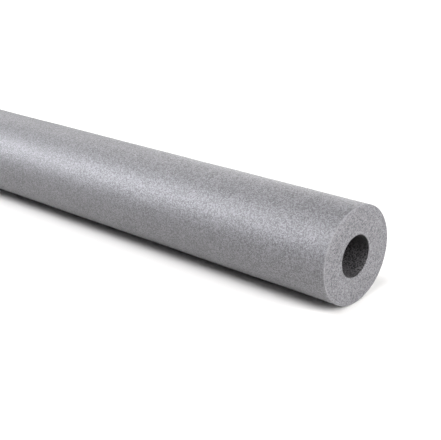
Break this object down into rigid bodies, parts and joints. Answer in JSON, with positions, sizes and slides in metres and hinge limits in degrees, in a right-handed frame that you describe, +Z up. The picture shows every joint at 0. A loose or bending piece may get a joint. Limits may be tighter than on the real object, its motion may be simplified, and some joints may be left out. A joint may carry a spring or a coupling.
{
  "type": "pipe insulation lagging",
  "caption": "Straight length of grey closed-cell foam tube with a thick wall and a plain round bore, cut square at both ends, for sliding over a heating or water pipe to insulate it.",
  "frame": {"origin": "middle of the line on which the tube lies on the floor", "axes": "+X along the tube, towards the end that the picture shows; +Y across it, away from the picture's camera; +Z up"},
  "size_m": [1, 0.069, 0.0689],
  "materials": {
    "foam": "grey closed-cell polyethylene foam, with a satin crepe-like extruded skin outside and in the bore, and open cut cells on the end faces"
  },
  "bodies": {
    "root": {"foam_tube": "foam"}
  },
  "joints": []
}
